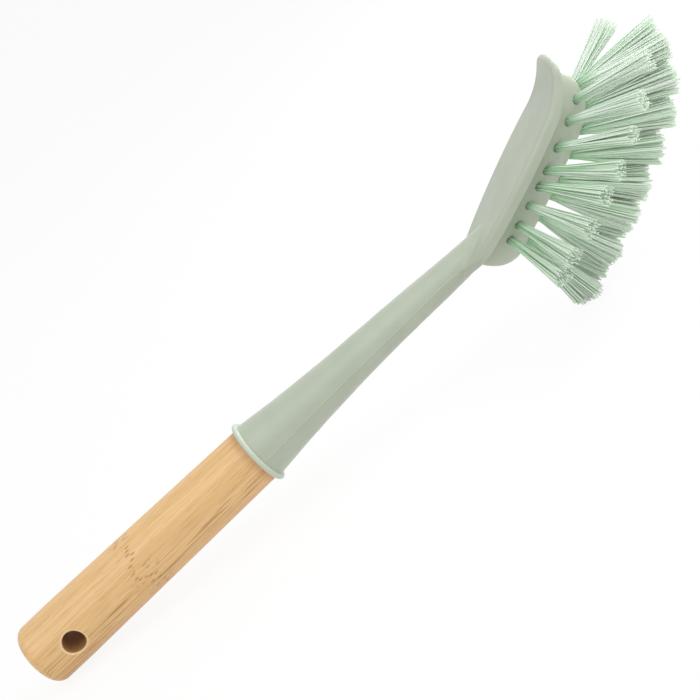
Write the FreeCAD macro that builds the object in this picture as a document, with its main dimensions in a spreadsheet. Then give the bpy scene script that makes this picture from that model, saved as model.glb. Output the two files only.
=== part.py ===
import FreeCAD, Part
import Sketcher

import math
import os

# Dish brush: a bamboo handle, a moulded head with its neck, bristle tufts and the metal anchors that
# hold them. Lengths are in millimetres and angles in degrees. The handle is drawn along X with the middle
# of the collar face at the origin. The plate and all that sits on it are drawn in the plate's own frame,
# with X along the plate and Z towards its back. At the end the brush is set down on its bristles and tail.

SIZES = (
    ("handle_length", 103.0, "collar face to tail end"),
    ("tail_radius", 11.45, "handle at the tail"),
    ("shoulder_radius", 10.05, "handle at the collar face"),
    ("tail_straight", 18.0, "tail end to the place where the handle begins to thin"),
    ("tail_rounding", 5.15, "rounded end along the handle"),
    ("tail_crown", 1.96, "crown of the end face along the handle"),
    ("tail_crown_reach", 9.5, "crown of the end face across the handle"),
    ("hang_radius", 4.0, "hang hole"),
    ("hang_setback", 18.1, "tail end to hang hole"),
    ("hang_chamfer", 0.5, "broken edge of the hang hole"),
    ("tenon_radius", 8.3, "tenon at the shoulder"),
    ("tenon_end_radius", 6.7, "tenon at its end"),
    ("tenon_length", 20.0, "shoulder to tenon end"),
    ("tenon_clearance", 0.08, "tenon to socket wall"),
    ("socket_relief", 0.25, "tenon end to socket floor"),
    ("lip_radius", 11.9, "collar lip"),
    ("lip_thickness", 1.8, "collar lip along the handle"),
    ("lip_bow", 0.7, "rounding of the lip's edge"),
    ("neck_length", 91.5, "collar face to the plate's heel"),
    ("neck_root_radius", 10.6, "neck at the collar"),
    ("neck_waist_radius", 5.1, "neck at the head"),
    ("neck_bury", 15.0, "neck end inside the head"),
    ("neck_rounding", 0.8, "corner between neck and head"),
    ("plate_drop", 5.2, "handle axis down to the plate's heel"),
    ("plate_angle", 22.3, "plate against the handle"),
    ("plate_length", 72.0, "heel to tip"),
    ("heel_reach", 4.0, "plate inside the neck"),
    ("heel_bend", 14.0, "heel that bends into the neck"),
    ("heel_rise", 4.0, "heel end above the flat of the plate"),
    ("plate_heel_half_width", 3.2, "at the heel end"),
    ("plate_flare_bow", 48.0, "arc of the heel's flare"),
    ("plate_flare_half_width", 10.9, "where the heel's flare ends"),
    ("plate_flare_length", 14.2, "heel to the end of the flare"),
    ("plate_tip_half_width", 9.4, "at the tip's corners before they are rounded"),
    ("plate_nose_length", 1.2, "bowed tip edge past its corners"),
    ("plate_thickness", 3.8, "rim to back"),
    ("plate_shoulder", 1.8, "rounding of the back's edge"),
    ("curl_length", 18.0, "tip that bends to the back"),
    ("curl_rise", 8.0, "tip above the flat of the plate"),
    ("tip_thickness", 3.0, "scraper edge"),
    ("tip_corner", 3.8, "corner of the scraper tip"),
    ("tip_trim", 2.0, "plate stock past the tip before it is trimmed"),
    ("block_heel", 3.0, "plate's heel to block"),
    ("block_tip_inset", 3.0, "block's tip to plate's tip"),
    ("block_half_width", 9.5, "block at the plate"),
    ("block_height", 12.6, "block below the plate"),
    ("block_heel_round", 9.5, "rounding of the heel end"),
    ("block_tip_round", 16.0, "rounding of the tip end"),
    ("hole_radius", 1.45, "tuft hole"),
    ("hole_depth", 5.5, "tuft hole along its axis"),
    ("drill_overrun", 2.9, "drill past the hole's mouth"),
    ("tuft_clearance", 0.04, "tuft to hole wall and floor"),
    ("tuft_collar", 0.6, "straight root above the hole"),
    ("tuft_tip_radius", 3.3, "tuft at its tip"),
    ("side_tuft_length", 27.5, "free length in the side rows"),
    ("crest_tuft_length", 30.5, "free length along the crest"),
    ("anchor_thickness", 0.4, "anchor wire"),
    ("anchor_height", 1.4, "anchor along the hole"),
    ("anchor_bite", 0.25, "anchor into the hole wall, each end"),
    ("anchor_clearance", 0.02, "anchor to its slots"),
    ("anchor_lift", 0.5, "hole floor to anchor"),
)

# Neck sections from the collar to the head: place along the neck, swell from waist to root radius, and sag.
NECK_PLACE_SHARES = (0.0, 0.08, 0.215, 0.44, 0.70, 0.93)
NECK_SWELL_SHARES = (1.0, 0.85, 0.63, 0.355, 0.175, 0.03)
NECK_SAG_SHARES = (0.0, 0.0, 0.0, 0.0, 0.02, 0.115)
NECK_WIDTH_SHARE = 1.04
NECK_END_SHARE = 0.8

# Block levels from above the plate down to the crest, as shares of the block's height.
BLOCK_LEVEL_SHARES = (-0.6, 0.0, 0.45, 0.8, 0.985)

# Tuft rows along the block: places as shares of its length, then angles. A side tuft points away from the
# plate by its rise and swings from sideways to forward. A crest tuft stands in the middle plane and leans
# forward.
SIDE_PLACE_SHARES = (0.185, 0.270, 0.377, 0.480, 0.564, 0.682, 0.812, 0.917)
NEAR_RISE_ANGLES = (25.0, 25.0, 28.0, 26.5, 30.0, 30.0, 26.0, 23.0)
NEAR_SWING_ANGLES = (-0.5, 3.3, 10.6, 20.4, 29.2, 39.1, 43.3, 57.0)
FAR_RISE_ANGLES = NEAR_RISE_ANGLES[:-1] + (11.2,)
FAR_SWING_ANGLES = NEAR_SWING_ANGLES[:-1] + (66.0,)
SIDE_LEVEL_SHARE = 0.40
CREST_PLACE_SHARES = (0.197, 0.333, 0.448, 0.529, 0.661, 0.791, 0.892, 0.977)
CREST_LEAN_ANGLES = (-12.0, -1.0, 12.0, 22.0, 30.5, 38.5, 46.0, 54.0)

# Outline of a tuft: a bundle of filaments reads as flutes, this deep.
FLUTE_COUNT = 9
FLUTE_SHARE = 0.86

# Stock that is wide enough to be cut to shape, as a share of the size it has to cover.
STOCK_SHARE = 8.0

# Which edges are rounded or broken: how near an edge lies, and how far its faces point to the plate's back.
TOUCH_SHARE = 0.001
MOUTH_SHARE = 1.01
BACK_SHARE = 0.7
SIDE_SHARE = 0.3
HEEL_SHARE = -0.9

# Search for the tilt at rest.
TILT_LIMIT_ANGLE = 45.0
TILT_HALVINGS = 60

doc = FreeCAD.newDocument("dish_brush")
sheet = doc.addObject("Spreadsheet::Sheet", "Sizes")
for row, (alias, number, note) in enumerate(SIZES, start=1):
    sheet.set("A%d" % row, alias)
    sheet.set("B%d" % row, "%r" % number)
    sheet.set("C%d" % row, note)
    sheet.setAlias("B%d" % row, alias)
doc.recompute()


def value(formula):
    """Number that a formula over the sheet gives."""
    return float(sheet.evalExpression(formula))


def size(alias):
    """Number in a named cell of the sheet."""
    return float(sheet.get(alias))


def bind(thing, formulas):
    """Tie properties of an object to formulas over the sheet."""
    for name, formula in formulas.items():
        thing.setExpression(name, formula)


def arc_radius(reach, rise):
    """Formula for the radius of an arc that leaves its tangent by rise over reach."""
    return "((%s)^2 + (%s)^2) / (2 * (%s))" % (reach, rise, rise)


def hold(sketch, constraint, formula):
    """Add a dimension to a sketch and tie it to a formula."""
    sketch.setExpression("Constraints[%d]" % sketch.addConstraint(constraint), formula)


def new_sketch(body, name, role):
    """Empty sketch on one of a body's origin planes."""
    sketch = body.newObject("Sketcher::SketchObject", name)
    planes = [feature for feature in body.Origin.OriginFeatures if feature.Role == role]
    sketch.AttachmentSupport = [(planes[0], "")]
    sketch.MapMode = "FlatFace"
    return sketch


def outline(body, name, role, corners, edges):
    """Closed sketch: corners are pairs of formulas, an edge is None or an arc's radius and turn."""
    sketch = new_sketch(body, name, role)
    points = [FreeCAD.Vector(value(across), value(up), 0) for across, up in corners]
    ends = []
    for index, edge in enumerate(edges):
        start = points[index]
        stop = points[(index + 1) % len(points)]
        if edge is None:
            sketch.addGeometry(Part.LineSegment(start, stop))
            ends.append((1, 2))
            continue
        radius = value(edge[0])
        chord = stop - start
        left = FreeCAD.Vector(-chord.y, chord.x, 0).normalize()
        rise = math.sqrt(max(0, radius ** 2 - (chord.Length / 2) ** 2))
        centre = (start + stop) / 2 + left * rise * edge[1]
        first, last = (start, stop) if edge[1] > 0 else (stop, start)
        angles = [math.atan2(point.y - centre.y, point.x - centre.x) for point in (first, last)]
        circle = Part.Circle(centre, FreeCAD.Vector(0, 0, 1), radius)
        sketch.addGeometry(Part.ArcOfCircle(circle, angles[0], angles[1]))
        ends.append((1, 2) if edge[1] > 0 else (2, 1))
    for index in range(len(edges)):
        after = (index + 1) % len(edges)
        sketch.addConstraint(Sketcher.Constraint("Coincident", index, ends[index][1], after, ends[after][0]))
    for index, corner in enumerate(corners):
        for kind, formula, axis in (("DistanceX", corner[0], -2), ("DistanceY", corner[1], -1)):
            if formula == "0":
                sketch.addConstraint(Sketcher.Constraint("PointOnObject", index, ends[index][0], axis))
            else:
                hold(sketch, Sketcher.Constraint(kind, -1, 1, index, ends[index][0], value(formula)), formula)
    for index, edge in enumerate(edges):
        if edge is not None:
            hold(sketch, Sketcher.Constraint("Radius", index, value(edge[0])), edge[0])
    return sketch


def turned(body, name, sketch):
    """Full turn of a sketch about its own horizontal axis."""
    feature = body.newObject("PartDesign::Revolution", name)
    feature.Profile = sketch
    feature.ReferenceAxis = (sketch, ["H_Axis"])
    feature.Angle = 360
    return feature


def padded(body, name, sketch, length):
    """Pad to both sides of a sketch."""
    feature = body.newObject("PartDesign::Pad", name)
    feature.Profile = sketch
    feature.SideType = "Symmetric"
    bind(feature, {"Length": length})
    return feature


def joined(kind, name, base, tool):
    """Boolean of two objects."""
    thing = doc.addObject(kind, name)
    thing.Base = base
    thing.Tool = tool
    return thing


def build_handle():
    """Turned bamboo with its tenon, the hang hole and the hole's broken edge."""
    body = doc.addObject("PartDesign::Body", "bamboo_handle")
    tail = "-Sizes.handle_length"
    sketch = outline(
        body, "handle_outline", "XZ_Plane",
        (
            ("Sizes.tenon_length", "0"),
            ("Sizes.tenon_length", "Sizes.tenon_end_radius"),
            ("0", "Sizes.tenon_radius"),
            ("0", "Sizes.shoulder_radius"),
            (tail + " + Sizes.tail_straight", "Sizes.tail_radius"),
            (tail + " + Sizes.tail_rounding", "Sizes.tail_radius"),
            (tail + " + Sizes.tail_crown", "Sizes.tail_crown_reach"),
            (tail, "0"),
        ),
        (
            None,
            None,
            None,
            None,
            None,
            (tail_edge_radius(), 1),
            (arc_radius("Sizes.tail_crown_reach", "Sizes.tail_crown"), 1),
            None,
        ),
    )
    turned(body, "handle_turning", sketch)
    place = tail + " + Sizes.hang_setback"
    ring = new_sketch(body, "hang_circle", "XZ_Plane")
    centre = FreeCAD.Vector(value(place), 0, 0)
    ring.addGeometry(Part.Circle(centre, FreeCAD.Vector(0, 0, 1), size("hang_radius")))
    ring.addConstraint(Sketcher.Constraint("PointOnObject", 0, 3, -1))
    hold(ring, Sketcher.Constraint("DistanceX", -1, 1, 0, 3, value(place)), place)
    hold(ring, Sketcher.Constraint("Radius", 0, size("hang_radius")), "Sizes.hang_radius")
    hang = body.newObject("PartDesign::Pocket", "hang_hole")
    hang.Profile = ring
    hang.SideType = "Symmetric"
    hang.Type = "ThroughAll"
    doc.recompute()
    mouths = []
    for number, edge in enumerate(hang.Shape.Edges, start=1):
        reach = [abs(edge.BoundBox.XMin - centre.x), abs(edge.BoundBox.XMax - centre.x)]
        if max(reach) < size("hang_radius") * MOUTH_SHARE and edge.BoundBox.XLength > size("hang_radius"):
            mouths.append("Edge%d" % number)
    broken = body.newObject("PartDesign::Chamfer", "hang_edge")
    broken.Base = (hang, mouths)
    bind(broken, {"Size": "Sizes.hang_chamfer"})
    return body


def tail_edge_radius():
    """Formula for the radius between the tail's crown and the handle's side."""
    reach = "Sizes.tail_rounding - Sizes.tail_crown"
    return arc_radius(reach, "Sizes.tail_radius - Sizes.tail_crown_reach")


def build_neck():
    """Neck lofted from the collar into the head, with the collar's rolled lip."""
    body = doc.addObject("PartDesign::Body", "neck")
    swell = "(Sizes.neck_root_radius - Sizes.neck_waist_radius)"
    sections = []
    for place, grow, sag in zip(NECK_PLACE_SHARES, NECK_SWELL_SHARES, NECK_SAG_SHARES):
        radius = "(Sizes.neck_waist_radius + %s * %r)" % (swell, grow)
        level = "-Sizes.plate_drop * %r" % sag if sag else "0"
        sections.append(("Sizes.neck_length * %r" % place, radius, level))
    buried = "(Sizes.neck_waist_radius * %r)" % NECK_END_SHARE
    sections.append(("Sizes.neck_length + Sizes.neck_bury", buried, "0"))
    sketches = []
    for number, (place, radius, level) in enumerate(sections, start=1):
        half = "%s * %r" % (radius, NECK_WIDTH_SHARE)
        bow = (arc_radius(half, radius), 1)
        corners = ((half, level), ("-" + half, level))
        sketch = outline(body, "neck_section_%d" % number, "YZ_Plane", corners, (bow, bow))
        bind(sketch, {".AttachmentOffset.Base.z": place})
        sketches.append(sketch)
    loft = body.newObject("PartDesign::AdditiveLoft", "neck_loft")
    loft.Profile = sketches[0]
    loft.Sections = sketches[1:]
    inner = "Sizes.neck_root_radius - Sizes.lip_thickness"
    bead = "Sizes.lip_radius - Sizes.lip_bow"
    roll = (arc_radius("Sizes.lip_thickness / 2", "Sizes.lip_bow"), 1)
    lip = outline(
        body, "lip_outline", "XZ_Plane",
        (
            ("0", inner),
            ("Sizes.lip_thickness", inner),
            ("Sizes.lip_thickness", bead),
            ("0", bead),
        ),
        (None, None, roll, None),
    )
    turned(body, "lip_turning", lip)
    return body


def plate_frame():
    """Placement of the plate's frame against the handle's."""
    turn = FreeCAD.Rotation(FreeCAD.Vector(0, -1, 0), size("plate_angle"))
    return FreeCAD.Placement(FreeCAD.Vector(size("neck_length"), 0, -size("plate_drop")), turn)


def side_strip(body, name, low, low_rises, high, high_rises):
    """Side view of the plate between two levels, each bent up at the heel and the tip by its rises."""
    heel = "-Sizes.heel_reach"
    bend = "(Sizes.heel_bend - Sizes.heel_reach)"
    curl = "(Sizes.plate_length - Sizes.curl_length)"
    far = "Sizes.plate_length + Sizes.tip_trim"
    reach = "(Sizes.curl_length + Sizes.tip_trim)"
    corners = []
    edges = []
    for level, rises, turn in ((low, low_rises, 1), (high, high_rises, -1)):
        if rises is None:
            corners.extend([(heel, level), (far, level)])
            edges.extend([None, None])
            continue
        heel_bow = arc_radius("Sizes.heel_bend", rises[0])
        tip_bow = arc_radius("Sizes.curl_length", rises[1])
        tip = "%s + %s - sqrt((%s)^2 - %s^2)" % (level, tip_bow, tip_bow, reach)
        run = [(heel, "%s + %s" % (level, rises[0])), (bend, level), (curl, level), (far, tip)]
        bows = [(heel_bow, turn), None, (tip_bow, turn)]
        corners.extend(run[::turn])
        edges.extend(bows[::turn] + [None])
    return outline(body, name, "XZ_Plane", corners, edges)


def side_bow(half):
    """Formula for the radius of the plate's side, which goes on smoothly from the heel's flare."""
    heel, flare, tip = half
    run = ["(%s - (%s))" % (tip[0], flare[0]), "(%s - (%s))" % (flare[0], heel[0])]
    rise = ["(%s - %s)" % (tip[1], flare[1]), "(%s - %s)" % (flare[1], heel[1])]
    chord = ["sqrt(%s^2 + %s^2)" % (along, up) for along, up in zip(run, rise)]
    turn = "atan(%s / %s) - atan(%s / %s)" % (rise[1], run[1], rise[0], run[0])
    turn += " - asin(%s / (2 * Sizes.plate_flare_bow))" % chord[1]
    return "%s / (2 * sin(%s))" % (chord[0], turn)


def build_plate():
    """Plate: its plan and side view, each padded, their common solid, and the back's rounded edge."""
    thin = "Sizes.curl_rise + Sizes.tip_thickness - Sizes.plate_thickness"
    side = doc.addObject("PartDesign::Body", "plate_side")
    strip = side_strip(
        side, "plate_side_outline", "0", ("Sizes.heel_rise", "Sizes.curl_rise"),
        "Sizes.plate_thickness", ("Sizes.heel_rise", thin))
    padded(side, "plate_side_pad", strip, "%r * Sizes.plate_flare_half_width" % STOCK_SHARE)
    plan = doc.addObject("PartDesign::Body", "plate_plan")
    half = (
        ("-Sizes.heel_reach", "Sizes.plate_heel_half_width"),
        ("Sizes.plate_flare_length", "Sizes.plate_flare_half_width"),
        ("Sizes.plate_length - Sizes.plate_nose_length", "Sizes.plate_tip_half_width"),
    )
    bows = (("Sizes.plate_flare_bow", 1), (side_bow(half), 1))
    nose = (arc_radius("Sizes.plate_tip_half_width", "Sizes.plate_nose_length"), 1)
    near = tuple((along, "-" + across) for along, across in half)
    leaf = outline(
        plan, "plate_plan_outline", "XY_Plane", near + half[::-1], bows + (nose,) + bows[::-1] + (None,))
    depth = "%r * (Sizes.plate_thickness + Sizes.curl_rise)" % STOCK_SHARE
    pad = padded(plan, "plate_plan_pad", leaf, depth)
    doc.recompute()
    tip = value(half[-1][0])
    corners = []
    for number, edge in enumerate(pad.Shape.Edges, start=1):
        box = edge.BoundBox
        if max(abs(box.XMin - tip), abs(box.XMax - tip)) < TOUCH_SHARE * size("tip_corner"):
            corners.append("Edge%d" % number)
    rounded = plan.newObject("PartDesign::Fillet", "plate_tip_corners")
    rounded.Base = (pad, corners)
    bind(rounded, {"Radius": "Sizes.tip_corner"})
    blank = joined("Part::Common", "plate_blank", side, plan)
    doc.recompute()
    edges = []
    for number, edge in enumerate(blank.Shape.Edges, start=1):
        middle = edge.valueAt((edge.FirstParameter + edge.LastParameter) / 2)
        normals = []
        for face in blank.Shape.ancestorsOfType(edge, Part.Face):
            across, along = face.Surface.parameter(middle)
            normals.append(face.normalAt(across, along))
        normals.sort(key=lambda normal: normal.z)
        upright = abs(normals[0].z) < SIDE_SHARE and normals[0].x > HEEL_SHARE
        if upright and normals[1].z > BACK_SHARE:
            edges.append((number, size("plate_shoulder"), size("plate_shoulder")))
    plate = doc.addObject("Part::Fillet", "plate")
    plate.Base = blank
    plate.Edges = edges
    return plate


def hull(share):
    """Formulas for the block at a level: heel end, tip end and half width."""
    shrink = 1 - math.sqrt(1 - max(share, 0) ** 2)
    heel = "(Sizes.block_heel + Sizes.block_heel_round * %r)" % shrink
    tip = "(Sizes.plate_length - Sizes.block_tip_inset - Sizes.block_tip_round * %r)" % shrink
    return heel, tip, "Sizes.block_half_width * %r" % (1 - shrink)


def build_block():
    """Domed block: ellipses lofted down to the crest, cut off at the middle of the plate's thickness."""
    rings = []
    for number, share in enumerate(BLOCK_LEVEL_SHARES, start=1):
        heel, tip, half = hull(share)
        ring = doc.addObject("Part::Ellipse", "block_ring_%d" % number)
        bind(ring, {
            "MajorRadius": "(%s - %s) / 2" % (tip, heel),
            "MinorRadius": half,
            ".Placement.Base.x": "(%s + %s) / 2" % (tip, heel),
            ".Placement.Base.z": "-Sizes.block_height * %r" % share,
        })
        rings.append(ring)
    dome = doc.addObject("Part::Loft", "block_dome")
    dome.Sections = rings
    dome.Solid = True
    limit = doc.addObject("PartDesign::Body", "block_limit")
    rise = "(Sizes.curl_rise + (Sizes.tip_thickness - Sizes.plate_thickness) / 2)"
    strip = side_strip(
        limit, "block_limit_outline", "-%r * Sizes.block_height" % STOCK_SHARE, None,
        "Sizes.plate_thickness / 2", ("Sizes.heel_rise", rise))
    padded(limit, "block_limit_pad", strip, "%r * Sizes.block_half_width" % STOCK_SHARE)
    return joined("Part::Common", "block", dome, limit)


def build_stem():
    """Neck, plate and block as one moulding, with the joint between them rounded and the socket cut."""
    neck = build_neck()
    head = joined("Part::Fuse", "plate_and_block", build_plate(), build_block())
    head.Placement = plate_frame()
    whole = joined("Part::Fuse", "head_and_neck", neck, head)
    doc.recompute()
    skins = (neck.Shape.Shells[0], head.Shape.Shells[0])
    edges = []
    for number, edge in enumerate(whole.Shape.Edges, start=1):
        middle = Part.Vertex(edge.valueAt((edge.FirstParameter + edge.LastParameter) / 2))
        if max(skin.distToShape(middle)[0] for skin in skins) < TOUCH_SHARE * size("neck_rounding"):
            edges.append((number, size("neck_rounding"), size("neck_rounding")))
    blended = doc.addObject("Part::Fillet", "head_blended")
    blended.Base = whole
    blended.Edges = edges
    socket = doc.addObject("Part::Cone", "socket")
    slope = "(Sizes.tenon_radius - Sizes.tenon_end_radius) / Sizes.tenon_length"
    bind(socket, {
        "Radius1": "Sizes.tenon_radius + Sizes.tenon_clearance",
        "Radius2": "Sizes.tenon_end_radius + Sizes.tenon_clearance - Sizes.socket_relief * %s" % slope,
        "Height": "Sizes.tenon_length + Sizes.socket_relief",
    })
    socket.Placement = FreeCAD.Placement(FreeCAD.Vector(), FreeCAD.Rotation(FreeCAD.Vector(0, 1, 0), 90))
    return joined("Part::Cut", "head_with_socket", blended, socket)


def crest_level(along):
    """Share of the block's height that its crest has at a place along the plate."""
    heel, tip = (value(formula) for formula in hull(0)[:2])
    shrink = max((along - heel) / size("block_heel_round"), 0)
    shrink = min(shrink, max((tip - along) / size("block_tip_round"), 0), 1)
    return min(math.sqrt(1 - (1 - shrink) ** 2), BLOCK_LEVEL_SHARES[-1])


def stand(along, across, share, forward, aside, down):
    """Placement of a tuft in the plate's frame: its hole's mouth, with Z the way it points."""
    mouth = FreeCAD.Vector(along, across, -share * size("block_height"))
    way = FreeCAD.Vector(forward, aside, -down)
    turn = FreeCAD.Rotation(FreeCAD.Vector(1, 0, 0), FreeCAD.Vector(), way, "ZXY")
    return FreeCAD.Placement(mouth, turn)


def tuft_places():
    """Name, free length and placement of each tuft."""
    heel, tip = (value(formula) for formula in hull(0)[:2])
    low_heel, low_tip, low_half = (value(formula) for formula in hull(SIDE_LEVEL_SHARE))
    places = []
    for number, place in enumerate(SIDE_PLACE_SHARES):
        along = heel + (tip - heel) * place
        reach = (2 * along - low_heel - low_tip) / (low_tip - low_heel)
        across = low_half * math.sqrt(1 - reach ** 2)
        near = ("near", -1, NEAR_RISE_ANGLES, NEAR_SWING_ANGLES)
        far = ("far", 1, FAR_RISE_ANGLES, FAR_SWING_ANGLES)
        for side, sign, rises, swings in (near, far):
            rise = math.radians(rises[number])
            swing = math.radians(swings[number])
            forward = math.cos(rise) * math.sin(swing)
            aside = math.cos(rise) * math.cos(swing)
            spot = stand(along, sign * across, SIDE_LEVEL_SHARE, forward, sign * aside, math.sin(rise))
            places.append(("tuft_%s_%d" % (side, number + 1), "side_tuft_length", spot))
    for number, place in enumerate(CREST_PLACE_SHARES):
        along = heel + (tip - heel) * place
        lean = math.radians(CREST_LEAN_ANGLES[number])
        spot = stand(along, 0, crest_level(along), math.sin(lean), 0, math.cos(lean))
        places.append(("tuft_crest_%d" % (number + 1), "crest_tuft_length", spot))
    return places


def fluted(radius, height):
    """Corners of the fluted section across a tuft."""
    points = []
    for step in range(2 * FLUTE_COUNT):
        turn = math.pi * step / FLUTE_COUNT
        reach = radius if step % 2 else radius * FLUTE_SHARE
        points.append(FreeCAD.Vector(reach * math.cos(turn), reach * math.sin(turn), height))
    return points


def flat_face(points):
    """Flat face with given corners."""
    return Part.Face(Part.makePolygon(points + points[:1]))


def anchor_box(name, gap):
    """Anchor wire in its tuft's frame, larger all round by a gap."""
    box = doc.addObject("Part::Box", name)
    width = "(2 * (Sizes.hole_radius + Sizes.anchor_bite) + 2 * %s)" % gap
    thickness = "(Sizes.anchor_thickness + 2 * %s)" % gap
    height = "(Sizes.anchor_height + 2 * %s)" % gap
    bind(box, {"Length": width, "Width": thickness, "Height": height})
    low = value("Sizes.anchor_lift - Sizes.hole_depth - %s" % gap)
    return box, FreeCAD.Placement(
        FreeCAD.Vector(-value(width) / 2, -value(thickness) / 2, low), FreeCAD.Rotation())


def tuft_shape(length, window):
    """Bundle of filaments: its root in the hole, folded round the anchor, and its flare to the tip."""
    root = size("hole_radius") - size("tuft_clearance")
    floor = size("tuft_clearance") - size("hole_depth")
    tip = fluted(size("tuft_tip_radius"), length)
    rings = [fluted(root, floor), fluted(root, size("tuft_collar")), tip]
    faces = [flat_face(rings[0]), flat_face(rings[-1])]
    for low, high in zip(rings, rings[1:]):
        for step in range(len(low)):
            faces.append(flat_face([low[step - 1], low[step], high[step], high[step - 1]]))
    return Part.Solid(Part.Shell(faces)).cut(window)


def lowest(points, tilt):
    """Height of the lowest of some points once they are tilted about Y."""
    return min(point.z * math.cos(tilt) - point.x * math.sin(tilt) for point in points)


def rest_tilt(tips):
    """Tilt, in radians, at which the tail and the lowest tuft tip touch one level floor."""
    edge = value(tail_edge_radius())
    tail = FreeCAD.Vector(value("Sizes.tail_rounding - Sizes.handle_length"), 0, edge - size("tail_radius"))
    tilts = [math.radians(-TILT_LIMIT_ANGLE), math.radians(TILT_LIMIT_ANGLE)]
    for _ in range(TILT_HALVINGS):
        tilt = sum(tilts) / 2
        tilts[0 if lowest([tail], tilt) - edge < lowest(tips, tilt) else 1] = tilt
    return tilt


handle = build_handle()
stem = build_stem()
places = tuft_places()
frame = plate_frame()

holes = doc.addObject("Part::Compound", "tuft_holes")
slots = doc.addObject("Part::Compound", "anchor_slots")
anchors = doc.addObject("Part::Compound", "anchor_wires")
hole_list = []
slot_list = []
anchor_list = []
for name, length, spot in places:
    hole = doc.addObject("Part::Cylinder", "hole_" + name)
    bind(hole, {"Radius": "Sizes.hole_radius", "Height": "Sizes.hole_depth + Sizes.drill_overrun"})
    hole.Placement = spot * FreeCAD.Placement(FreeCAD.Vector(0, 0, -size("hole_depth")), FreeCAD.Rotation())
    hole_list.append(hole)
    for group, title, gap in ((slot_list, "slot_", "Sizes.anchor_clearance"), (anchor_list, "wire_", "0")):
        box, seat = anchor_box(title + name, gap)
        box.Placement = spot * seat
        group.append(box)
holes.Links = hole_list
slots.Links = slot_list
anchors.Links = anchor_list
holes.Placement = frame
slots.Placement = frame
drilled = joined("Part::Cut", "head_drilled", stem, holes)
head = joined("Part::Cut", "moulded_head", drilled, slots)

window, seat = anchor_box("tuft_window", "Sizes.anchor_clearance")
window.Placement = seat
doc.recompute()
shapes = {length: tuft_shape(size(length), window.Shape) for name, length, spot in places}
tips = []
for name, length, spot in places:
    tip = fluted(size("tuft_tip_radius"), size(length))
    tips.extend((frame * spot).multVec(point) for point in tip)
tilt = rest_tilt(tips)
turn = FreeCAD.Placement(FreeCAD.Vector(), FreeCAD.Rotation(FreeCAD.Vector(0, 1, 0), math.degrees(tilt)))
tail_shape = handle.Shape.copy()
tail_shape.Placement = turn
back = tail_shape.optimalBoundingBox(False, False).XMin
front = max(turn.multVec(point).x for point in tips)
shift = FreeCAD.Vector(-(back + front) / 2, 0, -lowest(tips, tilt))
rest = FreeCAD.Placement(shift, FreeCAD.Rotation()) * turn

handle.Placement = rest
head.Placement = rest
anchors.Placement = rest * frame
parts = [handle, head, anchors]
for name, length, spot in places:
    tuft = doc.addObject("Part::Feature", name)
    tuft.Shape = shapes[length]
    tuft.Placement = rest * frame * spot
    parts.append(tuft)
doc.recompute()

for thing in doc.Objects:
    if "Invalid" in thing.State or "Error" in thing.State:
        raise RuntimeError("%s did not build: %s" % (thing.Name, thing.State))
os.makedirs("parts", exist_ok=True)
for thing in parts:
    if thing.Shape.isNull() or not thing.Shape.isValid():
        raise RuntimeError("%s has no valid shape" % thing.Label)
    thing.Shape.exportStep("parts/%s.step" % thing.Label)
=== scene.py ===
"""Dish brush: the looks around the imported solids.

The bamboo handle, the moulded head and the anchors keep their solids and get procedural finishes.
Each bristle tuft is built filament by filament, from the hole that its own solid stands in. Lengths are
in metres unless a name says mm.
"""

import logging
import math
from dataclasses import dataclass, replace
from enum import Enum
from functools import partial

import bpy
import numpy as np
from mathutils import Matrix, Vector
from mathutils.bvhtree import BVHTree


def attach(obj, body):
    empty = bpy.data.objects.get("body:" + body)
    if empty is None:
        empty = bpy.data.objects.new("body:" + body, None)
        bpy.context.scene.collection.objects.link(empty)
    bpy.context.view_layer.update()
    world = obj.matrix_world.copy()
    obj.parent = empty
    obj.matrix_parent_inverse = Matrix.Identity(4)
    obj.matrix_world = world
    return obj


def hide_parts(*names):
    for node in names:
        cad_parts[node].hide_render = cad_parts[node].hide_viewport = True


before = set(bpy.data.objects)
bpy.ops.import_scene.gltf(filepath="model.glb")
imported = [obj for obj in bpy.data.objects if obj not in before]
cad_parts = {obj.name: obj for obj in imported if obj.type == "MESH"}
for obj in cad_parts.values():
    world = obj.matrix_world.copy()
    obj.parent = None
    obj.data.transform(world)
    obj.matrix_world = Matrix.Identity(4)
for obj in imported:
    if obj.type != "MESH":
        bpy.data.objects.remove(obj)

LOG = logging.getLogger("dish_brush")
MM = 0.001
BODY = "root"
WHITE = "#FFFFFF"
GOLDEN_ANGLE = math.pi * (3 - math.sqrt(5))

# Settings and socket numbers of nodes that many finishes use: a soft ramp, and a mix of two colours.
SOFT = {"interpolation_type": "SMOOTHSTEP"}
PAINT = {"data_type": "RGBA"}
SHARE, UNDER, OVER, PAINTED = 0, 6, 7, 2

# How much finer pattern a noise holds.
PLAIN_DETAIL = 1.0
RICH_DETAIL = 2.0

Socket = bpy.types.NodeSocket
Tree = bpy.types.NodeTree
Pair = tuple[float, float]
Triple = tuple[float, float, float]
Face = tuple[int, ...]
Inputs = dict[int | str, object] | tuple[object, ...]


class Row(Enum):
    """Rows of tufts, by the side of the block that they stand on."""

    NEAR = "near"
    CREST = "crest"
    FAR = "far"


class Side(Enum):
    """Sides of the brush, by the way they face along Y."""

    NEAR = -1
    FAR = 1


def linear(code: str) -> tuple[float, float, float, float]:
    """Turn an sRGB hex colour into linear light.

    Args:
        code: colour such as "#C8A070".

    Returns:
        Red, green, blue and an alpha of one.
    """
    light = []
    for at in (1, 3, 5):
        level = int(code[at : at + 2], 16) / 255
        light.append(level / 12.92 if level <= 0.04045 else ((level + 0.055) / 1.055) ** 2.4)
    return (*light, 1.0)


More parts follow.
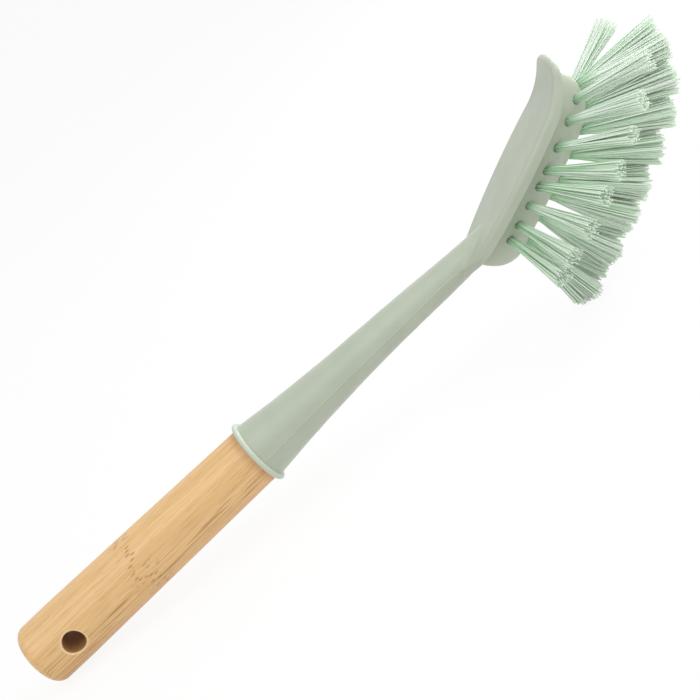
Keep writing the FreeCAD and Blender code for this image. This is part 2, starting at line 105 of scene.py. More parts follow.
def add_node(
    tree: Tree, kind: str, inputs: Inputs = (), take: int | str = 0, **settings: object
) -> Socket | None:
    """Add a node, set its properties, and fill or link its sockets.

    Args:
        tree: the material's or world's node tree.
        kind: the node's type, without the word that all shader nodes begin with.
        inputs: values, hex colours or outputs for the sockets, by name or number, or in their own order.
        take: the output to go on with.
        settings: properties of the node.

    Returns:
        The output, if the node has any.
    """
    node = tree.nodes.new("ShaderNode" + kind)
    for name, setting in settings.items():
        setattr(node, name, setting)
    for key, given in inputs.items() if isinstance(inputs, dict) else enumerate(inputs):
        if isinstance(given, Socket):
            tree.links.new(given, node.inputs[key])
        else:
            node.inputs[key].default_value = linear(given) if isinstance(given, str) else given
    return node.outputs[take] if node.outputs else None


def new_material(name: str) -> tuple[bpy.types.Material, Tree]:
    """Make an empty node material.

    Args:
        name: the material's name.

    Returns:
        The material and its node tree.
    """
    material = bpy.data.materials.new(name)
    material.use_nodes = True
    material.node_tree.nodes.clear()
    return material, material.node_tree


def new_piece(
    name: str, points: list[Vector], faces: list[Face], material: bpy.types.Material
) -> bpy.types.Object:
    """Make a mesh piece with smooth walls and flat ends.

    Args:
        name: the piece's name.
        points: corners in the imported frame.
        faces: corner numbers of each face. Walls have four corners and end faces have more.
        material: the finish.

    Returns:
        The new piece, linked to the scene.
    """
    mesh = bpy.data.meshes.new(name)
    mesh.from_pydata(points, [], faces)
    mesh.polygons.foreach_set("use_smooth", [len(face) == 4 for face in faces])
    mesh.materials.append(material)
    piece = bpy.data.objects.new(name, mesh)
    bpy.context.scene.collection.objects.link(piece)
    return piece


def ring(turn: Matrix, radius: float, sides: int) -> list[Vector]:
    """Give the corners of a round section.

    Args:
        turn: turn that takes Z to the way that the tube runs.
        radius: radius of the section.
        sides: number of corners.

    Returns:
        Corners around the origin.
    """
    angles = [2 * math.pi * side / sides for side in range(sides)]
    return [turn @ Vector((math.cos(angle), math.sin(angle), 0.0)) * radius for angle in angles]


def tube_faces(first: int, rings: int, sides: int, tip: int) -> list[Face]:
    """List the faces of a closed tube: its wall, then its two ends.

    Args:
        first: number of the first corner.
        rings: number of rings in the wall.
        sides: corners of a ring.
        tip: number of the first corner of the end face at the tip.

    Returns:
        Corner numbers of each face.
    """
    faces: list[Face] = []
    for low in range(first, first + (rings - 1) * sides, sides):
        for side in range(sides):
            after = (side + 1) % sides
            faces.append((low + side, low + after, low + sides + after, low + sides + side))
    faces.append(tuple(reversed(range(first, first + sides))))
    faces.append(tuple(range(tip, tip + sides)))
    return faces


@dataclass(frozen=True)
class HandleAxis:
    """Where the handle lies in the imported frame: the collar's middle and the handle's tilt about Y."""

    # The brush rests on its tail and its bristles, and the part's source lays the handle this way.
    place_mm: Triple = (-40.3591, 0.0, 25.0181)
    tilt_deg: float = -8.01591

    def matrix(self) -> Matrix:
        """Give the handle's own frame, with X to the head and Z to the brush's back."""
        place = Matrix.Translation(Vector(self.place_mm) * MM)
        return place @ Matrix.Rotation(math.radians(self.tilt_deg), 4, "Y")

    def points(self, tree: Tree, size_mm: Triple = (1.0, 1.0, 1.0)) -> Socket:
        """Give points of a surface in the handle's own frame.

        Args:
            tree: node tree to work in.
            size_mm: size of a pattern's patch along each axis, which the points are counted in.

        Returns:
            The points, in millimetres unless a size is given.
        """
        sockets = {
            "Vector": add_node(tree, "TexCoord", take="Object"),
            "Location": Vector(self.place_mm) * MM,
            "Rotation": (0.0, math.radians(self.tilt_deg), 0.0),
            "Scale": Vector(size_mm) * MM,
        }
        return add_node(tree, "Mapping", sockets, vector_type="TEXTURE")


AXIS = HandleAxis()


@dataclass(frozen=True)
class OiledBamboo:
    """Solid bamboo, turned, sanded and lightly oiled."""

    # The eye sees pale straw wood with fine straight streaks along the handle, a few darker bundles on
    # one side, one growth node with short brown marks, a broken edge around the hang hole painted paler
    # as a painted highlight, and a soft sheen.
    body: str = "#DEB57C"
    light: str = "#E6BF88"
    # Painted shade: the underside of the handle is painted in this darker, pinker tan.
    underside_shade: str = "#D8A983"
    fibre: str = "#AB7641"
    mark: str = "#9C6A33"
    # The hang hole's wall: raw end grain, made darker still as painted shade in the hole.
    bore_grain_and_shade: str = "#B4885A"
    # Painted highlight on the broken edge of the hang hole.
    hole_edge_highlight: str = "#F3D8AC"
    # Single fibres are too fine to show, so they are drawn as strands of these widths.
    vein_mm: Triple = (70.0, 1.9, 1.9)
    fibre_mm: Triple = (11.0, 0.36, 0.36)
    bundle_mm: Triple = (30.0, 0.40, 0.40)
    # The short marks at the growth node, and the bends of the band that they lie in.
    mark_mm: Triple = (3.4, 1.0, 1.0)
    wander_mm: Triple = (9.0, 3.0, 3.0)
    # Levels of a pattern between which its colour comes in, and how strong the colour gets.
    vein_levels: Pair = (0.36, 0.64)
    fibre_levels: Pair = (0.52, 0.70)
    fibre_share: float = 0.34
    bundle_levels: Pair = (0.56, 0.64)
    bundle_shares: Pair = (0.10, 0.72)
    mark_levels: Pair = (0.40, 0.18)
    mark_share: float = 0.7
    # Angles around the handle, from the near side up: the painted shade underneath, and the bundles' side.
    underside_shade_deg: Pair = (-20.0, -70.0)
    underside_shade_share: float = 0.5
    bundle_side_deg: float = -22.0
    bundle_reach_deg: Pair = (34.0, 10.0)
    # Places along the handle, from the collar: the stretch that the growth node wanders in and how far
    # its marks reach, the painted shadow below the collar, and the hang hole with its edge and wall.
    node_mm: Pair = (-56.0, -47.0)
    node_reach_mm: Pair = (7.0, 1.0)
    # Painted shadow below the collar's lip.
    collar_shadow_mm: Pair = (-4.0, 0.0)
    collar_shadow_share: float = 0.4
    hang_place_mm: float = -84.9
    hole_edge_highlight_mm: Pair = (4.9, 4.5)
    hole_edge_highlight_share: float = 0.7
    bore_mm: Pair = (4.15, 4.03)
    # Strands stand proud, and the bundles lie a little deeper.
    relief_mm: float = 0.08
    relief_strength: float = 0.25
    bundle_relief: float = -0.6
    roughness: float = 0.40
    vein_roughness: float = 0.12
    ior: float = 1.5
    # Sheen of the oiled outside and of the raw wall of the hang hole.
    sheens: Pair = (0.5, 0.05)

    def make(self) -> bpy.types.Material:
        """Build the material.

        Returns:
            The finished material.
        """
        material, tree = new_material("bamboo_turned_oiled")
        add = partial(add_node, tree)
        millimetres = AXIS.points(tree)
        along, across, back = add("SeparateXYZ", (millimetres,)).node.outputs
        vein_noise, fibre_noise, bundle_noise, wander_noise = (
            add("TexNoise", {"Vector": AXIS.points(tree, size), "Scale": 1.0, "Detail": detail})
            for size, detail in (
                (self.vein_mm, RICH_DETAIL),
                (self.fibre_mm, RICH_DETAIL),
                (self.bundle_mm, PLAIN_DETAIL),
                (self.wander_mm, PLAIN_DETAIL),
            )
        )
        veins = add("MapRange", (vein_noise, *self.vein_levels), **SOFT)
        fibres = add("MapRange", (fibre_noise, *self.fibre_levels, 0.0, self.fibre_share), **SOFT)

        # Angle around the handle, for the painted shade underneath and the side with the bundles.
        nearness = add("Math", (across, -1.0), operation="MULTIPLY")
        angle = add("Math", (back, nearness), operation="ARCTAN2")
        degrees = add("Math", (angle,), operation="DEGREES")
        # Painted shade: the underside is painted darker and pinker.
        painted_underside_shade = add("MapRange", (degrees, *self.underside_shade_deg, 0.0, self.underside_shade_share), **SOFT)
        aside = add("Math", (degrees, self.bundle_side_deg), operation="SUBTRACT")
        aside = add("Math", (aside,), operation="ABSOLUTE")
        bundle_side = add("MapRange", (aside, *self.bundle_reach_deg, *self.bundle_shares), **SOFT)
        strands = add("MapRange", (bundle_noise, *self.bundle_levels), **SOFT)
        bundles = add("Math", (strands, bundle_side), operation="MULTIPLY")

        # Short marks in a band that wanders around the growth node.
        node = add("MapRange", (wander_noise, 0.0, 1.0, *self.node_mm))
        from_node = add("Math", (along, node), operation="SUBTRACT")
        from_node = add("Math", (from_node,), operation="ABSOLUTE")
        band = add("MapRange", (from_node, *self.node_reach_mm), **SOFT)
        cells = add("TexVoronoi", {"Vector": AXIS.points(tree, self.mark_mm), "Scale": 1.0})
        spots = add("MapRange", (cells, *self.mark_levels, 0.0, self.mark_share), **SOFT)
        marks = add("Math", (spots, band), operation="MULTIPLY")
        # Painted shadow: the bamboo next to the collar is painted darker.
        painted_collar_shadow = add("MapRange", (along, *self.collar_shadow_mm, 0.0, self.collar_shadow_share), **SOFT)

        # Distance from the hang hole's axis, for its broken edge, painted paler as a painted highlight, and
        # its wall, painted darker for its raw end grain and as painted shade.
        level = add("CombineXYZ", {"X": along, "Z": back})
        reach = add("VectorMath", (level, (self.hang_place_mm, 0.0, 0.0)), "Value", operation="DISTANCE")
        # Painted highlight: the hole's broken edge is painted paler.
        hole_edge_highlight = add("MapRange", (reach, *self.hole_edge_highlight_mm, 0.0, self.hole_edge_highlight_share), **SOFT)
        # The hole's wall is painted darker: its raw end grain, and painted shade.
        wall = add("MapRange", (reach, *self.bore_mm), **SOFT)
        sheen = add("MapRange", (reach, *self.bore_mm, *self.sheens), **SOFT)

        colour: Socket | str = self.body
        for share, paint in (
            (veins, self.light),
            (fibres, self.fibre),
            (painted_underside_shade, self.underside_shade),
            (bundles, self.fibre),
            (marks, self.mark),
            (painted_collar_shadow, self.fibre),
            (hole_edge_highlight, self.hole_edge_highlight),
            (wall, self.bore_grain_and_shade),
        ):
            colour = add("Mix", {SHARE: share, UNDER: colour, OVER: paint}, PAINTED, **PAINT)
        height = add("Math", (strands, self.bundle_relief, fibre_noise), operation="MULTIPLY_ADD")
        relief = {"Strength": self.relief_strength, "Distance": self.relief_mm * MM, "Height": height}
        rough = add("Math", (vein_noise, self.vein_roughness, self.roughness), operation="MULTIPLY_ADD")
        surface = add("BsdfPrincipled", {
            "Base Color": colour,
            "Roughness": rough,
            "IOR": self.ior,
            "Specular IOR Level": sheen,
            "Normal": add("Bump", relief),
        })
        add("OutputMaterial", {"Surface": surface})
        return material


@dataclass(frozen=True)
class MouldedPolypropylene:
    """Polypropylene, injection moulded in a finely spark-eroded mould, sage green."""

    # The eye sees an even satin green with a faint cloudiness, a painted highlight on the collar's lip,
    # and a thin line along the neck where the two halves of the mould met, with a painted highlight.
    body: str = "#B0B8A7"
    cloud: str = "#ACB4A3"
    # Painted highlight on the collar's lip.
    lip_highlight: str = "#CAD3C2"
    # Painted highlight along the parting line.
    ridge: str = "#BFC7B5"
    cloud_mm: Triple = (14.0, 9.0, 9.0)
    # The grain that spark erosion leaves is too fine to show, so it is drawn this coarse.
    spark_mm: Triple = (0.25, 0.25, 0.25)
    cloud_levels: Pair = (0.35, 0.65)
    lip_highlight_mm: Pair = (2.1, 1.6)
    lip_highlight_share: float = 0.6
    ridge_half_mm: float = 0.28
    ridge_end_mm: Pair = (92.0, 84.0)
    ridge_highlight_share: float = 0.7
    relief_mm: float = 0.12
    relief_strength: float = 0.6
    spark_relief: float = 0.06
    roughness: float = 0.30
    cloud_roughness: float = 0.1
    ior: float = 1.49

    def make(self) -> bpy.types.Material:
        """Build the material.

        Returns:
            The finished material.
        """
        material, tree = new_material("polypropylene_moulded_sage")
        add = partial(add_node, tree)
        millimetres = AXIS.points(tree)
        along, _, back = add("SeparateXYZ", (millimetres,)).node.outputs
        cloud_points = AXIS.points(tree, self.cloud_mm)
        mottle = add("TexNoise", {"Vector": cloud_points, "Scale": 1.0, "Detail": RICH_DETAIL})
        spark_points = AXIS.points(tree, self.spark_mm)
        sparks = add("TexNoise", {"Vector": spark_points, "Scale": 1.0, "Detail": PLAIN_DETAIL})
        clouds = add("MapRange", (mottle, *self.cloud_levels), **SOFT)
        # Painted highlight: the collar's lip is painted paler, as if its edge caught the light.
        lip_highlight = add("MapRange", (along, *self.lip_highlight_mm, 0.0, self.lip_highlight_share), **SOFT)

        # The mould parts at the level of the handle's axis, as far as the head.
        level = add("Math", (back,), operation="ABSOLUTE")
        line = add("MapRange", (level, self.ridge_half_mm, 0.0), **SOFT)
        neck = add("MapRange", (along, *self.ridge_end_mm), **SOFT)
        ridge = add("Math", (line, neck), operation="MULTIPLY")
        # Painted highlight: the raised parting line is painted paler along the neck.
        pale = add("Math", (ridge, self.ridge_highlight_share), operation="MULTIPLY")

        colour: Socket | str = self.body
        for share, paint in ((clouds, self.cloud), (lip_highlight, self.lip_highlight), (pale, self.ridge)):
            colour = add("Mix", {SHARE: share, UNDER: colour, OVER: paint}, PAINTED, **PAINT)
        height = add("Math", (sparks, self.spark_relief, ridge), operation="MULTIPLY_ADD")
        relief = {"Strength": self.relief_strength, "Distance": self.relief_mm * MM, "Height": height}
        rough = add("Math", (mottle, self.cloud_roughness, self.roughness), operation="MULTIPLY_ADD")
        surface = add("BsdfPrincipled", {
            "Base Color": colour,
            "Roughness": rough,
            "IOR": self.ior,
            "Normal": add("Bump", relief),
        })
        add("OutputMaterial", {"Surface": surface})
        return material


@dataclass(frozen=True)
class DrawnFilament:
    """Polyester filament, drawn and cut, pale green."""

    # The eye sees smooth, slightly translucent threads of slightly different greens, with painted shade
    # deeper at their roots in the crowd, painted light paler towards their tips, and nearly white cut ends.
    deep: str = "#A2DAA0"
    pale: str = "#F4FDF4"
    # Painted shade at the roots, deep in the crowd.
    root: str = "#B6E2B8"
    # Painted light: the outer part of each filament is painted paler.
    tip: str = "#EEFAEC"
    end: str = "#F8FFF7"
    # Shares of a thread's length between which a colour comes in.
    root_shade_shares: Pair = (0.35, 0.0)
    tip_light_shares: Pair = (0.45, 0.98)
    end_shares: Pair = (0.985, 1.0)
    tip_light_share: float = 0.75
    glow_share: float = 0.20
    roughness: float = 0.38
    ior: float = 1.55

    def make(self) -> bpy.types.Material:
        """Build the material.

        Returns:
            The finished material.
        """
        material, tree = new_material("polyester_filament_green")
        add = partial(add_node, tree)
        shade = add("Attribute", take="Fac", attribute_name="shade")
        along = add("Attribute", take="Fac", attribute_name="along")
        # Painted shade at the roots, then painted light towards the tips.
        root_shade = add("MapRange", (along, *self.root_shade_shares), **SOFT)
        # Painted light: paler towards the tip.
        tip_light = add("MapRange", (along, *self.tip_light_shares, 0.0, self.tip_light_share), **SOFT)
        ends = add("MapRange", (along, *self.end_shares), **SOFT)
        colour: Socket | str = self.deep
        for share, paint in ((shade, self.pale), (root_shade, self.root), (tip_light, self.tip), (ends, self.end)):
            colour = add("Mix", {SHARE: share, UNDER: colour, OVER: paint}, PAINTED, **PAINT)
        skin = add("BsdfPrincipled", {"Base Color": colour, "Roughness": self.roughness, "IOR": self.ior})
        glow = add("BsdfTranslucent", {"Color": colour})
        surface = add("MixShader", (self.glow_share, skin, glow))
        add("OutputMaterial", {"Surface": surface})
        return material


@dataclass(frozen=True)
class CutSteel:
    """Steel wire, rolled flat and sheared, left bright."""

    # The eye would see fine rolling lines, but the anchors are hidden in their holes.
    body: str = "#BEBDB9"
    line: str = "#9C9B97"
    line_mm: Triple = (2.0, 0.08, 0.08)
    line_levels: Pair = (0.4, 0.6)
    roughness: float = 0.34

    def make(self) -> bpy.types.Material:
        """Build the material.

        Returns:
            The finished material.
        """
        material, tree = new_material("steel_wire_flat")
        add = partial(add_node, tree)
        points = AXIS.points(tree, self.line_mm)
        rolled = add("TexNoise", {"Vector": points, "Scale": 1.0, "Detail": PLAIN_DETAIL})
        lines = add("MapRange", (rolled, *self.line_levels), **SOFT)
        colour = add("Mix", {SHARE: lines, UNDER: self.body, OVER: self.line}, PAINTED, **PAINT)
        surface = add("BsdfPrincipled", {"Base Color": colour, "Roughness": self.roughness, "Metallic": 1.0})
        add("OutputMaterial", {"Surface": surface})
        return material


def seen(tree: Tree) -> Socket:
    """Tell rays that show the background from rays that light the brush.

    Args:
        tree: node tree to work in.

    Returns:
        One for camera, glossy and transmission rays.
    """
    path = add_node(tree, "LightPath").node.outputs
    camera, glossy, through = (path[f"Is {kind} Ray"] for kind in ("Camera", "Glossy", "Transmission"))
    bent = add_node(tree, "Math", (glossy, through), operation="MAXIMUM")
    return add_node(tree, "Math", (camera, bent), operation="MAXIMUM")


@dataclass(frozen=True)
class MattPaper:
    """Uncoated white paper, as a studio floor."""

    # The eye sees plain white with the brush's soft shadow on it.
    pale: str = "#F2F2F0"
    light: str = "#F6F6F4"
    mottle_mm: float = 25.0
    white_share: float = 0.90

    def make(self) -> bpy.types.Material:
        """Build the material.

        Returns:
            The finished material.
        """
        material, tree = new_material("paper_white_matt")
        add = partial(add_node, tree)
        points = add("TexCoord", take="Object")
        mottle = add("TexNoise", {"Vector": points, "Scale": 1 / (self.mottle_mm * MM)})
        colour = add("Mix", {SHARE: mottle, UNDER: self.pale, OVER: self.light}, PAINTED, **PAINT)
        matt = add("BsdfDiffuse", {"Color": colour})
        white = add("Emission", {"Color": WHITE, "Strength": 1.0})
        share = add("Math", (seen(tree), self.white_share), operation="MULTIPLY")
        surface = add("MixShader", (share, matt, white))
        add("OutputMaterial", {"Surface": surface})
        return material


@dataclass
class SolidPiece:
    """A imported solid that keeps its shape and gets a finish."""

    node: str

    def dress(self, material: bpy.types.Material) -> bpy.types.Object:
        """Put the finish on the solid.

        Args:
            material: the finish.

        Returns:
            The dressed piece.
        """
        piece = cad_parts[self.node]
        piece.data.materials.clear()
        piece.data.materials.append(material)
        return piece


@dataclass
class MouldSeam:
    """Thin raised line on one side of the neck, where the two halves of the mould met."""

    name: str
    side: Side
    radius_mm: float = 0.17
    start_mm: float = 1.9
    stop_mm: float = 97.0
    step_mm: float = 1.5
    # The line keeps to the handle's axis and sags where the neck widens into the head.
    sag_mm: float = 1.2
    sag_start_mm: float = 78.0
    sag_stop_mm: float = 90.0
    # Its points are cast onto the neck from this far out.
    cast_mm: float = 40.0
    sides: int = 8
    # The line starts this thin at each end and swells by so much at each of its points.
    end_share: float = 0.3
    swell_share: float = 0.35

    def line(self) -> list[Vector]:
        """Follow the neck's surface at the level where the mould parts.

        Returns:
            Points on the surface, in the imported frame.
        """
        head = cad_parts["moulded_head"].data
        corners = [vertex.co for vertex in head.vertices]
        skin = BVHTree.FromPolygons(corners, [tuple(face.vertices) for face in head.polygons])
        laid = AXIS.matrix()
        inward = laid.to_3x3() @ Vector((0.0, -self.side.value, 0.0))
        spots = []
        for along in np.arange(self.start_mm, self.stop_mm, self.step_mm):
            share = (along - self.sag_start_mm) / (self.sag_stop_mm - self.sag_start_mm)
            share = min(max(share, 0.0), 1.0)
            level = -self.sag_mm * share * share * (3 - 2 * share)
            start = laid @ (Vector((along, self.side.value * self.cast_mm, level)) * MM)
            hit = skin.ray_cast(start, inward)[0]
            if hit is not None:
                spots.append(hit)
        return spots

    def build(self, material: bpy.types.Material) -> bpy.types.Object:
        """Build the line as a thin bead, half sunk in the neck.

        Args:
            material: the moulding's finish.

        Returns:
            The new piece.
        """
        spots = self.line()
        last = len(spots) - 1
        points: list[Vector] = []
        for index, spot in enumerate(spots):
            way = spots[min(index + 1, last)] - spots[max(index - 1, 0)]
            swell = min(1.0, self.end_share + self.swell_share * min(index, last - index))
            turn = way.to_track_quat("Z", "Y").to_matrix()
            points.extend(spot + corner for corner in ring(turn, self.radius_mm * MM * swell, self.sides))
        faces = tube_faces(0, len(spots), self.sides, last * self.sides)
        piece = new_piece(self.name, points, faces, material)
        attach(piece, BODY)
        return piece


@dataclass(frozen=True)
class TuftRoom:
    """Room that a tuft's solid takes: the hole's mouth, the way out of it, the free length and the radii."""

    mouth: Vector
    way: Vector
    length: float
    root_radius: float
    tip_radius: float

    def turn(self) -> Matrix:
        """Give the turn that takes X to the far side, Y to the head's tip and Z to the tuft's way."""
        side = (Vector((0.0, 1.0, 0.0)) - self.way * self.way.y).normalized()
        return Matrix((side, self.way.cross(side), self.way)).transposed()


@dataclass
class Tuft:
    """One bundle of filaments that starts in the hole that its solid stands in.

    A tuft is folded over its anchor, so it leaves the hole as legs packed tight. Towards the tip the legs
    part, their filaments spread and gather in clumps, and they end at uneven lengths, so the dark gaps
    between clumps and the speckled cut ends show.
    """

    row: Row
    number: int
    count: int = 46
    # Filaments of this kind are a little finer. They are drawn this coarse so that single threads show.
    radius_mm: float = 0.23
    sides: int = 6
    steps: int = 6
    # Filaments start this far below the mouth of the hole, and the hole is this deep.
    sunk_mm: float = 3.2
    hole_mm: float = 5.5
    # Stretch at each end of the solid that is measured for its middle and radius.
    end_band_mm: float = 0.5
    # Where the legs end, to the far side and to the head's tip, and how the filaments spread there. The
    # higher the flare, the longer a tuft stays tight before it opens.
    legs_mm: tuple[Pair, ...] = ((-0.45, 0.0), (0.45, 0.0))
    splay_share: float = 1.10
    flare: float = 1.15
    clumps: int = 8
    clump_share: float = 0.22
    turn_jitter: float = 0.12
    spread_jitter: float = 0.05
    bow_mm: float = 0.08
    rag_share: float = 0.025
    # Some filaments stray: they reach further out and end sooner.
    stray_share: float = 0.06
    stray_reach: float = 1.12
    stray_short_share: float = 0.03
    # Mean paleness of the filaments; the bristles set it by place, as painted light.
    paleness_and_light: float = 0.45
    paleness_spread: float = 0.32
    # A filament's wall is counted to this share of its length, and its cut face is at one.
    wall_share: float = 0.98
    row_seed: int = 1000
    shade_seed: int = 500

    @property
    def node(self) -> str:
        """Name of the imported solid."""
        return f"tuft_{self.row.value}_{self.number}"

    @property
    def seed(self) -> int:
        """Number that the tuft's random draws start from."""
        return self.row_seed * list(Row).index(self.row) + self.number

    def room(self) -> TuftRoom:
        """Measure the solid.

        Returns:
            The room that it takes.
        """
        spots = np.array([vertex.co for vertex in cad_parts[self.node].data.vertices], float)
        middle = spots.mean(axis=0)
        way = np.linalg.svd(spots - middle, full_matrices=False)[2][0]
        reach = (spots - middle) @ way
        off = np.linalg.norm(spots - middle - np.outer(reach, way), axis=1)
        band = self.end_band_mm * MM
        ends = [off[reach < reach.min() + band].max(), off[reach > reach.max() - band].max()]
        if ends[0] > ends[1]:
            way, reach, ends = -way, -reach, ends[::-1]
        tip = spots[reach > reach.max() - band].mean(axis=0)
        root = spots[reach < reach.min() + band].mean(axis=0)
        way = (tip - root) / np.linalg.norm(tip - root)
        hole = self.hole_mm * MM
        return TuftRoom(Vector(root + way * hole), Vector(way), np.linalg.norm(tip - root) - hole, *ends)

    def paths(self) -> list[list[Vector]]:
        """Lay the middle line of every filament.

        Returns:
            Points of each line, from inside the hole to the tip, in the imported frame.
        """
        room = self.room()
        turn = room.turn()
        draw = np.random.default_rng(self.seed)
        thread = self.radius_mm * MM
        sunk = self.sunk_mm * MM
        legs = [complex(*leg) * MM for leg in self.legs_mm]
        knots = np.sqrt(draw.random(self.clumps)) * np.exp(2j * math.pi * draw.random(self.clumps))
        lines = []
        for index in range(self.count):
            angle = index * GOLDEN_ANGLE + draw.normal(0, self.turn_jitter)
            place = math.sqrt((index + 0.5) / self.count) * np.exp(1j * angle)
            knot = knots[np.argmin(np.abs(knots - place))]
            spread = place + self.clump_share * (knot - place)
            spread += draw.normal(0, self.spread_jitter) + 1j * draw.normal(0, self.spread_jitter)
            stray = draw.random() < self.stray_share
            spread *= self.stray_reach if stray else 1.0
            spread /= max(abs(spread), 1.0)
            root = place * (room.root_radius - thread)
            tip = room.tip_radius * self.splay_share * spread + legs[index % len(legs)]
            short = abs(draw.normal(0, self.rag_share)) + (self.stray_short_share if stray else 0.0)
            end = room.length * (1.0 - short)
            bow = complex(*draw.normal(0, self.bow_mm * MM, 2))
            # A filament that would reach through the floor is cut off there.
            low = (room.mouth + turn @ Vector((tip.real, tip.imag, end))).z - thread
            end += min(low, 0.0) / abs(room.way.z)
            line = []
            for height in np.linspace(-sunk, end, self.steps + 1):
                free = max(height / room.length, 0.0)
                off = root + (tip - root) * free**self.flare + bow * math.sin(math.pi * min(free, 1.0))
                line.append(room.mouth + turn @ Vector((off.real, off.imag, height)))
            lines.append(line)
        return lines

    def build(self, material: bpy.types.Material) -> bpy.types.Object:
        """Build the bundle and let it stand for its solid.

        Args:
            material: the filaments' finish.

        Returns:
            The new piece.
        """
        draw = np.random.default_rng(self.shade_seed + self.seed)
        points: list[Vector] = []
        faces: list[Face] = []
        shades: list[float] = []
        alongs: list[float] = []
        for line in self.paths():
            # The cut end has a ring of its own, so that its face is flat and has its own colour.
            first = len(points)
            turn = (line[-1] - line[0]).to_track_quat("Z", "Y").to_matrix()
            section = ring(turn, self.radius_mm * MM, self.sides)
            points.extend(spot + corner for spot in line + line[-1:] for corner in section)
            faces.extend(tube_faces(first, len(line), self.sides, first + len(line) * self.sides))
            shade = min(max(draw.normal(self.paleness_and_light, self.paleness_spread), 0.0), 1.0)
            shades.extend([shade] * (len(points) - first))
            wall = [self.wall_share * step / self.steps for step in range(self.steps + 1)]
            alongs.extend(along for along in wall + [1.0] for _ in range(self.sides))
        piece = new_piece(f"bristles_{self.row.value}_{self.number}", points, faces, material)
        for name, numbers in (("shade", shades), ("along", alongs)):
            piece.data.attributes.new(name, "FLOAT", "POINT").data.foreach_set("value", numbers)
        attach(piece, BODY)
        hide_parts(self.node)
        return piece


@dataclass
class Bristles:
    """All the tufts of the head.

    The crest's tufts fan out as three legs, most of all at the heel. As painted light, the tufts nearest
    the scraper tip are painted paler than the rest, and the lone one that ends the far row palest of all.
    """

    per_row: int = 8
    crest_count: int = 150
    crest_flare: float = 0.80
    # Where the three legs of a crest tuft end. Next to the heel the high leg ends nearer the head's tip.
    low_leg_mm: Pair = (-1.4, -0.8)
    high_leg_mm: Pair = (4.0, 3.2)
    heel_leg_mm: Pair = (1.6, -5.0)
    heel_tufts: int = 4
    heel_lift_mm: float = 0.7
    # Mean paleness of each tuft, set as painted light, from the heel to the scraper tip.
    paleness_and_light: tuple[float, ...] = (0.70, 0.70, 0.66, 0.60, 0.60, 0.76, 0.92, 0.98)
    # Painted backlight: the lone tuft at the end of the far row is painted palest.
    lone_painted_backlight: float = 1.0

    def tuft(self, row: Row, number: int) -> Tuft:
        """Describe one tuft.

        Args:
            row: the row it stands in.
            number: its place in the row, from the heel.

        Returns:
            The tuft, not yet built.
        """
        tuft = Tuft(row, number, paleness_and_light=self.paleness_and_light[number - 1])
        if row is Row.CREST:
            lift = self.heel_lift_mm * max(self.heel_tufts - number, 0)
            high = (self.high_leg_mm[0], self.high_leg_mm[1] + lift)
            legs = (self.low_leg_mm, high, self.heel_leg_mm)
            tuft = replace(tuft, count=self.crest_count, legs_mm=legs, flare=self.crest_flare)
        if row is Row.FAR and number == self.per_row:
            tuft = replace(tuft, paleness_and_light=self.lone_painted_backlight)
        return tuft

    def build(self, material: bpy.types.Material) -> list[bpy.types.Object]:
        """Build every tuft.

        Args:
            material: the filaments' finish.

        Returns:
            The new pieces.
        """
        numbers = range(1, self.per_row + 1)
        return [self.tuft(row, number).build(material) for row in Row for number in numbers]


@dataclass(frozen=True)
class SoftLamp:
    """Round soft lamp: its name, place, aim, width in metres and power in watts."""

    name: str
    place: Triple
    aim: Triple
    size: float
    power: float

    def hang(self) -> None:
        """Hang the lamp and turn it to its aim."""
        light = bpy.data.lights.new(self.name, "AREA")
        light.shape = "DISK"
        light.size = self.size
        light.energy = self.power
        hung = bpy.data.objects.new(self.name, light)
        bpy.context.scene.collection.objects.link(hung)
        hung.location = self.place
        hung.rotation_mode = "QUATERNION"
        hung.rotation_quaternion = (Vector(self.aim) - Vector(self.place)).to_track_quat("-Z", "Y")


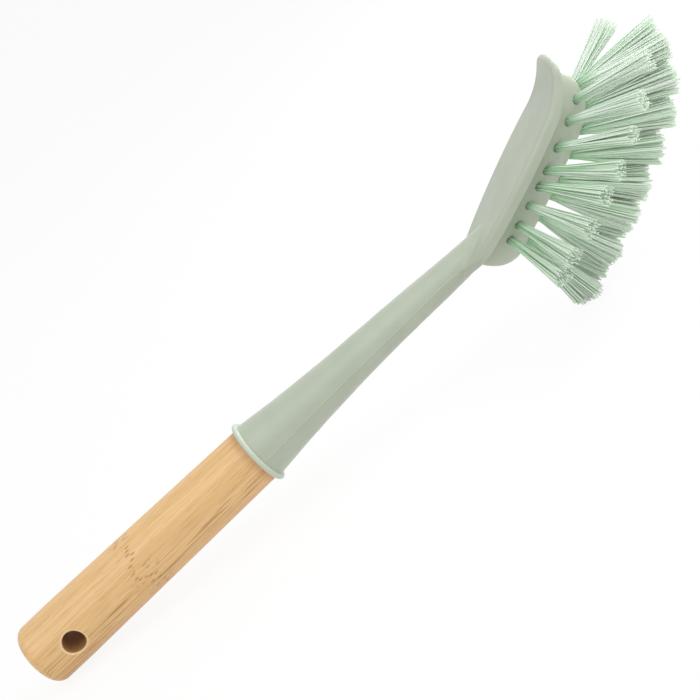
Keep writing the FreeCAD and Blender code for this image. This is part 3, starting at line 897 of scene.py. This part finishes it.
@dataclass
class Studio:
    """White floor, soft light and the camera at the photo's angle."""

    eye: Triple = (0.048024, -0.546652, 0.260436)
    right: Triple = (0.807775, -0.168505, -0.564894)
    down: Triple = (-0.584898, -0.348494, -0.732425)
    lens_mm: float = 94.7314
    sensor_mm: float = 36.0
    clip_start: float = 0.01
    floor_half: float = 6.0
    sky_strength: float = 0.61
    # One lamp above the back, one to the right of the bristles, and one behind them.
    lamps: tuple[SoftLamp, ...] = (
        SoftLamp("softbox_back", (-0.35, -0.55, 0.95), (0.02, 0.0, 0.03), 1.1, 4.1),
        SoftLamp("softbox_bristles", (0.44, -0.02, 0.34), (0.12, 0.0, 0.04), 0.45, 1.5),
        SoftLamp("softbox_far", (0.42, 0.34, 0.14), (0.12, 0.0, 0.04), 0.40, 1.7),
    )

    def build(self) -> None:
        """Build the floor, the sky, the lamps and the camera."""
        self.build_floor()
        self.build_sky()
        for lamp in self.lamps:
            lamp.hang()
        self.build_camera()

    def build_floor(self) -> None:
        """Lay a pale floor that looks white and keeps the shadow."""
        half = self.floor_half
        corners = [Vector((x * half, y * half, 0.0)) for x, y in ((-1, -1), (1, -1), (1, 1), (-1, 1))]
        floor = new_piece("floor", corners, [(0, 1, 2, 3)], MattPaper().make())

    def build_sky(self) -> None:
        """Surround the brush with even white light."""
        world = bpy.data.worlds.new("white_room")
        bpy.context.scene.world = world
        world.use_nodes = True
        tree = world.node_tree
        tree.nodes.clear()
        plain = add_node(tree, "Background", {"Color": WHITE, "Strength": self.sky_strength})
        white = add_node(tree, "Background", {"Color": WHITE, "Strength": 1.0})
        surface = add_node(tree, "MixShader", (seen(tree), plain, white))
        add_node(tree, "OutputWorld", {"Surface": surface})

    def build_camera(self) -> None:
        """Set the camera where the photo was taken from."""
        lens = bpy.data.cameras.new("camera")
        lens.lens = self.lens_mm
        lens.sensor_width = self.sensor_mm
        lens.clip_start = self.clip_start
        camera = bpy.data.objects.new("camera", lens)
        bpy.context.scene.collection.objects.link(camera)
        right = Vector(self.right)
        up = -Vector(self.down)
        turn = Matrix((right, up, right.cross(up))).transposed().to_4x4()
        camera.matrix_world = Matrix.Translation(Vector(self.eye)) @ turn
        bpy.context.scene.camera = camera


def main() -> None:
    """Build and dress the brush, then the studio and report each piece."""
    logging.basicConfig(level=logging.INFO, format="%(message)s")
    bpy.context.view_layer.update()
    moulding = MouldedPolypropylene().make()
    pieces = [
        SolidPiece("bamboo_handle").dress(OiledBamboo().make()),
        SolidPiece("moulded_head").dress(moulding),
        MouldSeam("mould_seam_near", Side.NEAR).build(moulding),
        MouldSeam("mould_seam_far", Side.FAR).build(moulding),
        SolidPiece("anchor_wires").dress(CutSteel().make()),
        *Bristles().build(DrawnFilament().make()),
    ]
    for piece in pieces:
        LOG.info("%s: %s, %d faces", piece.name, piece.data.materials[0].name, len(piece.data.polygons))
    Studio().build()
    bpy.context.scene.view_settings.view_transform = "Standard"


if __name__ == "__main__":
    main()
